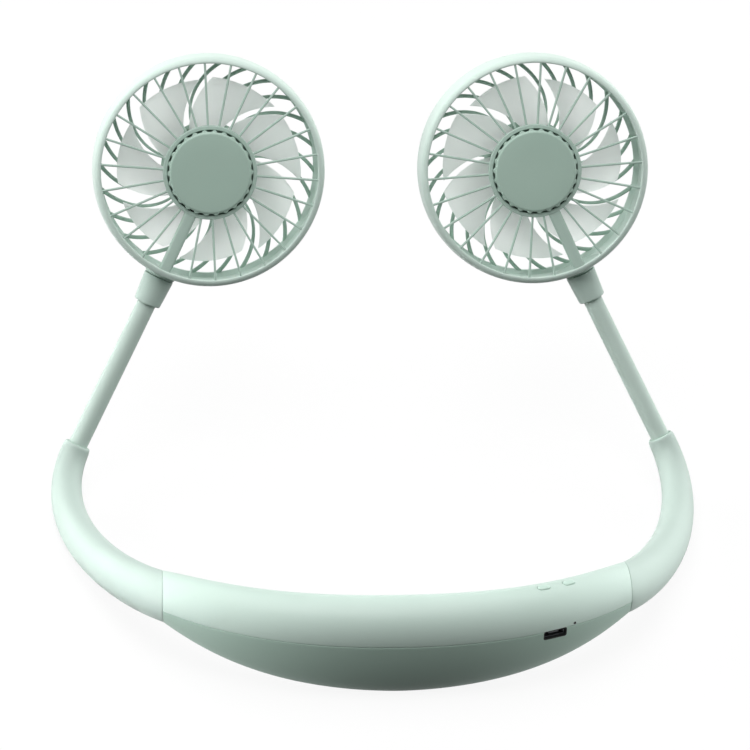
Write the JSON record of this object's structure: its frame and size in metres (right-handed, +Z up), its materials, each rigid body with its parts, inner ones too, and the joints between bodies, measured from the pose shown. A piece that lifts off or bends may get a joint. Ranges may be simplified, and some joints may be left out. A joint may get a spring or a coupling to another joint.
{
  "type": "neck fan",
  "caption": "Wearable electric neck fan: curved battery housing, two sleeved arms, and two bendable goosenecks each ending in a caged fan head.",
  "frame": {"origin": "middle of the flat under the housing, on the surface that the fan stands on", "axes": "+Z up, +X towards the right arm, +Y from the housing towards the fan heads"},
  "size_m": [0.2364, 0.2016, 0.155],
  "materials": {
    "mint_shell": "satin",
    "mint_shade": "satin",
    "milky_plastic": "satin, slightly milky",
    "light_pipe": "clear",
    "cell": "foil pouch",
    "foam": "foam",
    "copper": "copper and bronze",
    "board": "solder mask",
    "steel": "plain",
    "switch_black": "plain",
    "ferrite": "rubber-bonded ferrite",
    "cable_black": "sheathed"
  },
  "bodies": {
    "band": {"housing_top_shell": "mint_shell", "housing_bottom_shell": "mint_shade", "battery_cell": "cell", "battery_pad": "foam", "battery_leads": "copper", "control_board": "board", "usb_socket": "steel", "tact_switches": "switch_black", "charge_light_pipe": "light_pipe", "arm_sleeve_left": "mint_shell", "arm_sleeve_right": "mint_shell", "arm_core_left": "steel", "arm_core_right": "steel", "neck_socket_left": "mint_shade", "neck_socket_right": "mint_shade"},
    "power_button": {"power_button": "mint_shell"},
    "mode_button": {"mode_button": "mint_shell"},
    "neck_lower_left": {"neck_lower_left": "mint_shell", "neck_core_lower_left": "steel"},
    "neck_upper_left": {"neck_upper_left": "mint_shell", "neck_core_upper_left": "steel"},
    "collar_left": {"collar_left": "mint_shell"},
    "head_left": {"motor_side_grille_left": "mint_shell", "outlet_grille_left": "mint_shade", "hub_cap_left": "mint_shade", "fan_lead_left": "cable_black", "bearing_bush_left": "copper", "stator_core_left": "steel", "stator_coils_left": "copper", "motor_board_left": "board"},
    "impeller_left": {"impeller_left": "milky_plastic", "rotor_magnet_left": "ferrite", "motor_shaft_left": "steel"},
    "neck_lower_right": {"neck_lower_right": "mint_shell", "neck_core_lower_right": "steel"},
    "neck_upper_right": {"neck_upper_right": "mint_shell", "neck_core_upper_right": "steel"},
    "collar_right": {"collar_right": "mint_shell"},
    "head_right": {"motor_side_grille_right": "mint_shell", "outlet_grille_right": "mint_shade", "hub_cap_right": "mint_shade", "fan_lead_right": "cable_black", "bearing_bush_right": "copper", "stator_core_right": "steel", "stator_coils_right": "copper", "motor_board_right": "board"},
    "impeller_right": {"impeller_right": "milky_plastic", "rotor_magnet_right": "ferrite", "motor_shaft_right": "steel"}
  },
  "joints": [
    {"name": "neck_base_pitch_left", "type": "hinge", "parent": "band", "child": "neck_lower_left", "pos_m": [-0.10743, 0.13275, 0.02037], "axis": [1, 0, 0], "range_deg": [-25, 25]},
    {"name": "neck_mid_bend_left", "type": "hinge", "parent": "neck_lower_left", "child": "neck_upper_left", "pos_m": [-0.09552, 0.14213, 0.04227], "axis": [0, -0.9192, 0.3938], "range_deg": [-10, 30]},
    {"name": "neck_top_pitch_left", "type": "hinge", "parent": "neck_upper_left", "child": "collar_left", "pos_m": [-0.08362, 0.15151, 0.06417], "axis": [1, 0, 0], "range_deg": [-30, 30]},
    {"name": "head_swivel_left", "type": "hinge", "parent": "collar_left", "child": "head_left", "pos_m": [-0.07801, 0.15535, 0.07537], "axis": [-0.4284, -0.2929, -0.8548], "range_deg": [-90, 90]},
    {"name": "impeller_spin_left", "type": "hinge", "parent": "head_left", "child": "impeller_left", "pos_m": [-0.0595, 0.168, 0.1123], "axis": [0.0332, -0.9505, 0.309], "continuous": true},
    {"name": "neck_base_pitch_right", "type": "hinge", "parent": "band", "child": "neck_lower_right", "pos_m": [0.10743, 0.13275, 0.02037], "axis": [1, 0, 0], "range_deg": [-25, 25]},
    {"name": "neck_mid_bend_right", "type": "hinge", "parent": "neck_lower_right", "child": "neck_upper_right", "pos_m": [0.09552, 0.14213, 0.04227], "axis": [0, 0.9192, -0.3938], "range_deg": [-10, 30]},
    {"name": "neck_top_pitch_right", "type": "hinge", "parent": "neck_upper_right", "child": "collar_right", "pos_m": [0.08362, 0.15151, 0.06417], "axis": [1, 0, 0], "range_deg": [-30, 30]},
    {"name": "head_swivel_right", "type": "hinge", "parent": "collar_right", "child": "head_right", "pos_m": [0.07801, 0.15535, 0.07537], "axis": [0.4284, -0.2929, -0.8548], "range_deg": [-90, 90]},
    {"name": "impeller_spin_right", "type": "hinge", "parent": "head_right", "child": "impeller_right", "pos_m": [0.0595, 0.168, 0.1123], "axis": [-0.0332, -0.9505, 0.309], "continuous": true},
    {"name": "power_button_press", "type": "slide", "parent": "band", "child": "power_button", "axis": [0, 0, -1], "range_m": [0, 0.0006], "stiffness_N_per_m": 1500, "springref_m": -0.0004},
    {"name": "mode_button_press", "type": "slide", "parent": "band", "child": "mode_button", "axis": [0, 0, -1], "range_m": [0, 0.0006], "stiffness_N_per_m": 1500, "springref_m": -0.0004}
  ]
}
